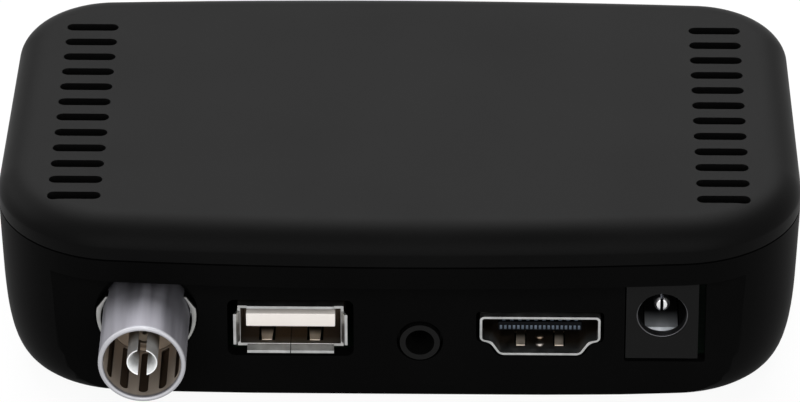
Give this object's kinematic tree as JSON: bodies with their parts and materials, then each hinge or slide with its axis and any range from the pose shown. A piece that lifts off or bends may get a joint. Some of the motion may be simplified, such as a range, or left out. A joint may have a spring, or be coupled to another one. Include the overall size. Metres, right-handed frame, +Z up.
{
  "type": "terrestrial television receiver",
  "caption": "Small black set-top receiver with a rounded vented case, a recessed rear panel of sockets with a protruding antenna tube, and a front window with push keys.",
  "frame": {"origin": "on the standing surface, under the middle of the whole box including the antenna tube", "axes": "+X to the right when facing the sockets, +Y from the sockets to the display, +Z up"},
  "size_m": [0.1004, 0.0701, 0.0265],
  "materials": {
    "case_plastic": "fine-textured moulded black plastic",
    "window": "smoked gloss plastic",
    "rubber": "soft black rubber",
    "screw_steel": "plated steel",
    "board": "green solder mask",
    "key_plastic": "satin black plastic",
    "pale_plastic": "cream moulded plastic",
    "dark_plastic": "dark moulded plastic",
    "segments": "unlit red segments",
    "lamp_red": "red lens plastic",
    "tin_plate": "tin-plated sheet",
    "chip": "moulded epoxy",
    "nickel": "satin nickel plate",
    "port_steel": "plated sheet steel",
    "spring_steel": "plated spring sheet",
    "gold_contact": "gold-plated contact",
    "jack_plastic": "black moulded plastic",
    "aluminium": "extruded aluminium",
    "capacitor_sleeve": "shrink sleeve"
  },
  "bodies": {
    "case": {"base_shell": "case_plastic", "panel_rim": "case_plastic", "antenna_panel": "case_plastic", "data_panel": "case_plastic", "sound_panel": "case_plastic", "video_panel": "case_plastic", "front_panel": "case_plastic", "top_cover": "case_plastic", "front_lens": "window", "infrared_receiver": "window", "rubber_feet": "rubber", "case_screws": "screw_steel", "main_board": "board", "data_port_tongue": "pale_plastic", "antenna_insulator": "pale_plastic", "key_switches": "dark_plastic", "display_module": "dark_plastic", "video_port_tongue": "dark_plastic", "display_segments": "segments", "standby_lamp": "lamp_red", "tuner_can": "tin_plate", "crystal": "tin_plate", "tuner_chip": "chip", "main_chip": "chip", "memory_chip": "chip", "flash_chip": "chip", "regulators": "chip", "inductors": "chip", "antenna_tube": "nickel", "antenna_flange": "nickel", "antenna_contact": "nickel", "data_port_shell": "port_steel", "video_port_shell": "port_steel", "power_jack_pin": "port_steel", "data_port_contacts": "gold_contact", "video_port_contacts": "gold_contact", "av_jack_body": "jack_plastic", "power_jack_body": "jack_plastic", "heat_sink": "aluminium", "capacitors": "capacitor_sleeve"},
    "standby_press": {"standby_key": "key_plastic", "standby_plunger": "pale_plastic"},
    "channel_down_press": {"channel_down_key": "key_plastic", "channel_down_plunger": "pale_plastic"},
    "channel_up_press": {"channel_up_key": "key_plastic", "channel_up_plunger": "pale_plastic"},
    "data_spring_left": {"data_port_spring_left": "spring_steel"},
    "data_spring_right": {"data_port_spring_right": "spring_steel"},
    "video_spring_left": {"video_port_spring_left": "spring_steel"},
    "video_spring_right": {"video_port_spring_right": "spring_steel"},
    "power_spring": {"power_jack_spring": "spring_steel"},
    "av_tip_spring": {"av_tip_contact": "gold_contact"},
    "av_ring_spring": {"av_ring_contact": "gold_contact"}
  },
  "joints": [
    {"name": "standby_key_press", "type": "slide", "parent": "case", "child": "standby_press", "axis": [0, -1, 0], "range_m": [0, 0.0005], "stiffness_N_per_m": 1500},
    {"name": "channel_down_key_press", "type": "slide", "parent": "case", "child": "channel_down_press", "axis": [0, -1, 0], "range_m": [0, 0.0005], "stiffness_N_per_m": 1500},
    {"name": "channel_up_key_press", "type": "slide", "parent": "case", "child": "channel_up_press", "axis": [0, -1, 0], "range_m": [0, 0.0005], "stiffness_N_per_m": 1500},
    {"name": "data_spring_left_flex", "type": "hinge", "parent": "case", "child": "data_spring_left", "pos_m": [-0.0164, -0.02175, 0.00777], "axis": [1, 0, 0], "range_deg": [-12, 0], "stiffness_Nm_per_rad": 0.02},
    {"name": "data_spring_right_flex", "type": "hinge", "parent": "case", "child": "data_spring_right", "pos_m": [-0.0104, -0.02175, 0.00777], "axis": [1, 0, 0], "range_deg": [-12, 0], "stiffness_Nm_per_rad": 0.02},
    {"name": "video_spring_left_flex", "type": "hinge", "parent": "case", "child": "video_spring_left", "pos_m": [0.01525, -0.02175, 0.0072], "axis": [1, 0, 0], "range_deg": [-12, 0], "stiffness_Nm_per_rad": 0.02},
    {"name": "video_spring_right_flex", "type": "hinge", "parent": "case", "child": "video_spring_right", "pos_m": [0.02005, -0.02175, 0.0072], "axis": [1, 0, 0], "range_deg": [-12, 0], "stiffness_Nm_per_rad": 0.02},
    {"name": "power_spring_flex", "type": "hinge", "parent": "case", "child": "power_spring", "pos_m": [0.0328, -0.01275, 0.00867], "axis": [1, 0, 0], "range_deg": [0, 4], "stiffness_Nm_per_rad": 0.05},
    {"name": "av_tip_spring_flex", "type": "hinge", "parent": "case", "child": "av_tip_spring", "pos_m": [0.00045, -0.01045, 0.0087], "axis": [0, 0, 1], "range_deg": [-5, 0], "stiffness_Nm_per_rad": 0.02},
    {"name": "av_ring_spring_flex", "type": "hinge", "parent": "case", "child": "av_ring_spring", "pos_m": [0.00495, -0.01045, 0.0087], "axis": [0, 0, 1], "range_deg": [0, 5], "stiffness_Nm_per_rad": 0.02}
  ]
}
